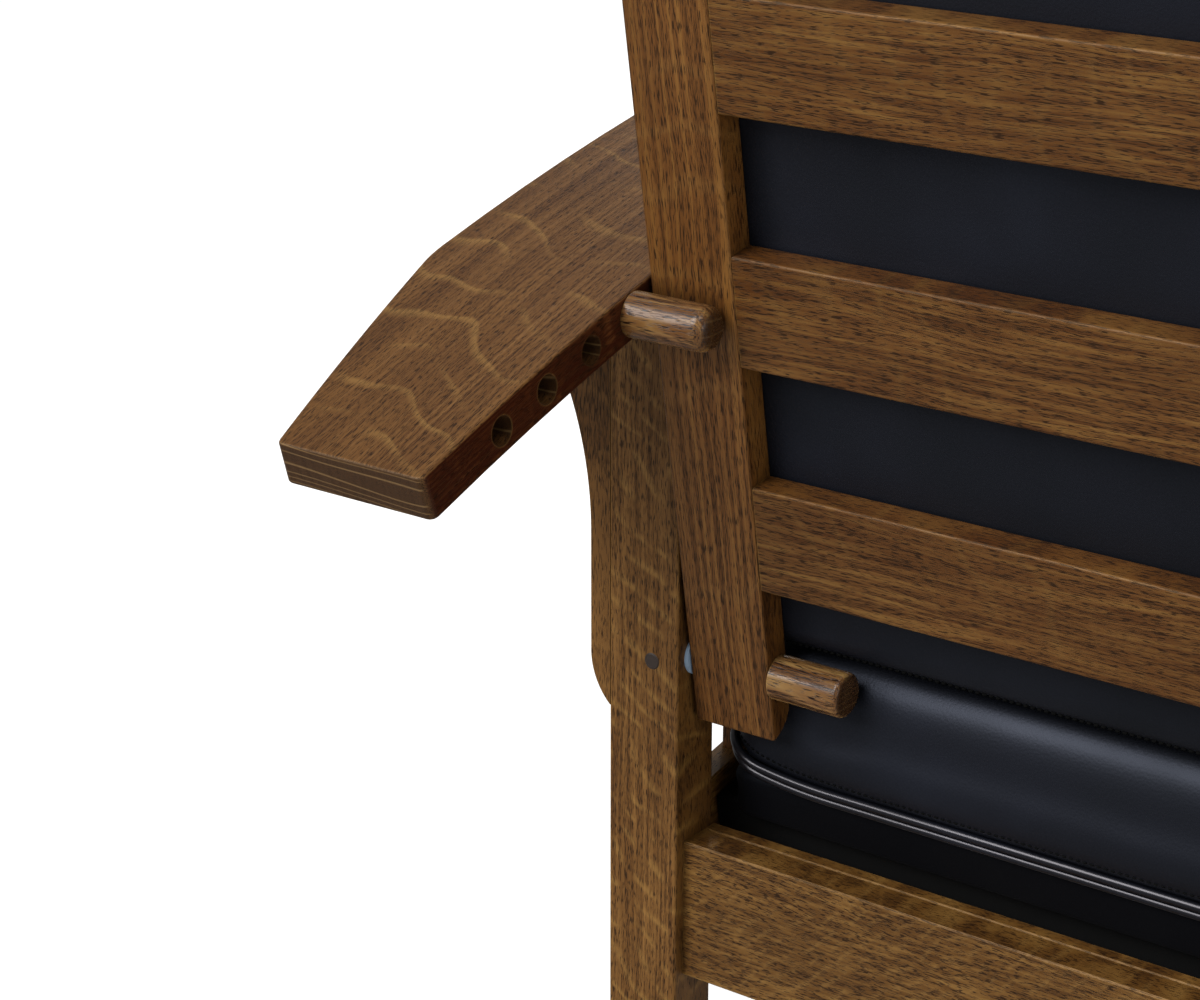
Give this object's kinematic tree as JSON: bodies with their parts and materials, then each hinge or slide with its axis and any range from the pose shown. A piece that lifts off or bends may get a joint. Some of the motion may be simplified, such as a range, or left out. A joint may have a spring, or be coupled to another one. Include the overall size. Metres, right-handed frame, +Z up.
{
  "type": "reclining armchair",
  "caption": "Mission reclining armchair: slatted oak frame with bow arms, a pivoting slatted back that leans on prop pegs in the arms, and leather cushions.",
  "frame": {"origin": "on the floor, in the middle of the chair's width and of the arms' length", "axes": "+Z up, -Y to the front, +X to the sitter's left"},
  "size_m": [0.837, 0.9213, 1.0342],
  "materials": {
    "oak_frame": "dark stained, satin lacquer",
    "oak_arm": "stained, satin lacquer, worn",
    "oak_peg": "stained, turned, satin lacquer",
    "wood_plug": "dark stained end grain",
    "seat_frame_wood": "matte black paint",
    "plain_wood": "sawn and unfinished",
    "washer_plastic": "moulded nylon",
    "glide_plastic": "moulded nylon",
    "leather": "satin, fine pebble"
  },
  "bodies": {
    "base": {"arm_left": "oak_arm", "arm_right": "oak_arm", "front_cleat": "plain_wood", "front_corbel_left": "oak_frame", "front_corbel_right": "oak_frame", "front_glide_left": "glide_plastic", "front_glide_right": "glide_plastic", "front_leg_left": "oak_frame", "front_leg_right": "oak_frame", "front_rail": "oak_frame", "leg_plug_left": "wood_plug", "leg_plug_right": "wood_plug", "pivot_pin_left": "oak_peg", "pivot_pin_right": "oak_peg", "pivot_washer_left": "washer_plastic", "pivot_washer_right": "washer_plastic", "rear_corbel_left": "oak_frame", "rear_corbel_right": "oak_frame", "rear_glide_left": "glide_plastic", "rear_glide_right": "glide_plastic", "rear_leg_left": "oak_frame", "rear_leg_right": "oak_frame", "rear_rail": "oak_frame", "rear_rail_strip": "oak_frame", "seat_board": "plain_wood", "seat_cushion": "leather", "seat_frame_front": "seat_frame_wood", "seat_frame_rear": "seat_frame_wood", "seat_frame_side_left": "seat_frame_wood", "seat_frame_side_right": "seat_frame_wood", "seat_platform": "leather", "side_cleat_left": "plain_wood", "side_cleat_right": "plain_wood", "side_rail_left": "oak_frame", "side_rail_right": "oak_frame", "side_slat_1_left": "oak_frame", "side_slat_1_right": "oak_frame", "side_slat_2_left": "oak_frame", "side_slat_2_right": "oak_frame", "side_slat_3_left": "oak_frame", "side_slat_3_right": "oak_frame", "side_slat_4_left": "oak_frame", "side_slat_4_right": "oak_frame", "side_slat_5_left": "oak_frame", "side_slat_5_right": "oak_frame"},
    "back": {"back_cushion": "leather", "back_slat_1": "oak_frame", "back_slat_2": "oak_frame", "back_slat_3": "oak_frame", "back_slat_4": "oak_frame", "back_slat_5": "oak_frame", "back_stile_left": "oak_frame", "back_stile_right": "oak_frame"},
    "prop_peg_left": {"prop_peg_left": "oak_peg"},
    "prop_peg_right": {"prop_peg_right": "oak_peg"}
  },
  "joints": [
    {"name": "back_tilt", "type": "hinge", "parent": "base", "child": "back", "pos_m": [0, 0.2095, 0.305], "axis": [1, 0, 0], "range_deg": [0, 10]},
    {"name": "peg_pull_left", "type": "slide", "parent": "base", "child": "prop_peg_left", "axis": [-1, 0, 0], "range_m": [0, 0.05]},
    {"name": "peg_pull_right", "type": "slide", "parent": "base", "child": "prop_peg_right", "axis": [1, 0, 0], "range_m": [0, 0.05]}
  ]
}
